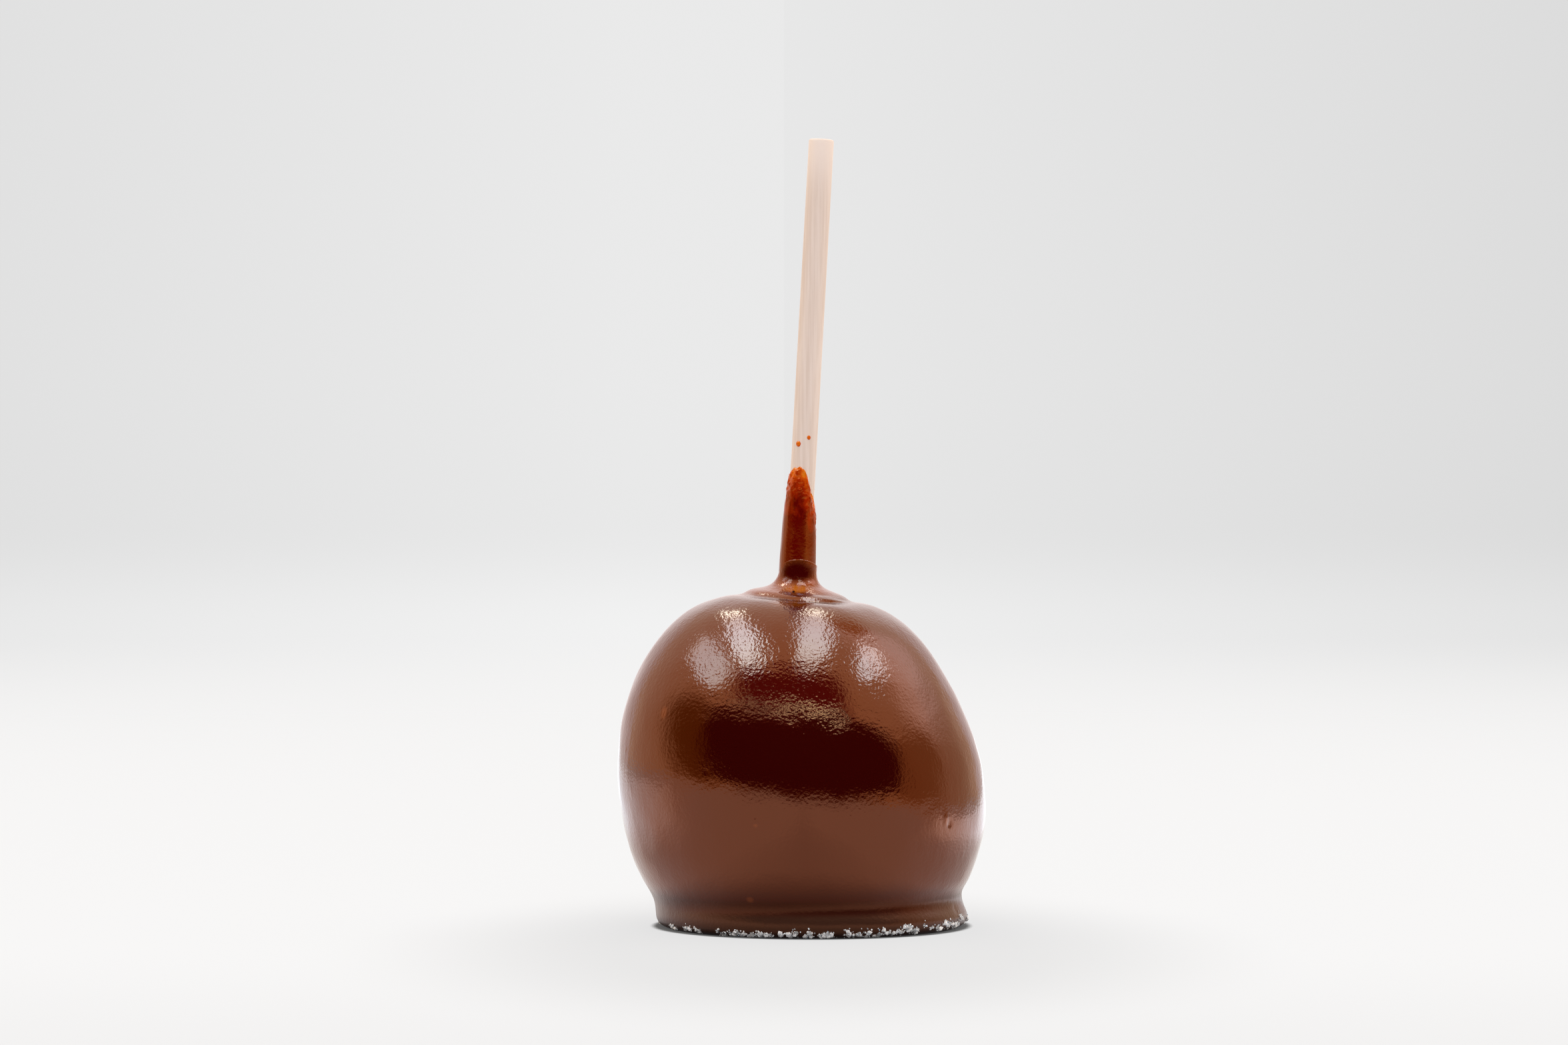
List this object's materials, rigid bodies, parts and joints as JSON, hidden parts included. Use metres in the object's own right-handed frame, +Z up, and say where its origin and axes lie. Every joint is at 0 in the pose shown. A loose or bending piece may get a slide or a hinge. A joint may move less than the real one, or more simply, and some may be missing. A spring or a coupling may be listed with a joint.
{
  "type": "caramel apple",
  "caption": "Whole apple in a glossy dark caramel coat with sugar grains on its lower rim, on a slim round wooden stick that leans a little.",
  "frame": {"origin": "on the flat base that the apple rests on, under the middle of the apple", "axes": "+Z up along the height, +X to the side that the stick leans to, -Y is the front"},
  "size_m": [0.0818, 0.0816, 0.1751],
  "materials": {
    "caramel": "glossy dark brown caramel with a faint orange-peel surface",
    "amber_caramel": "glossy thin caramel, dark red-brown at its middle and amber at its edges",
    "birch": "bare pale birch dowel with fine lengthwise grain",
    "sugar": "clear to white coarse sugar crystals"
  },
  "bodies": {
    "root": {"coated_apple": "caramel", "caramel_sleeve": "amber_caramel", "stick": "birch"}
  },
  "joints": []
}
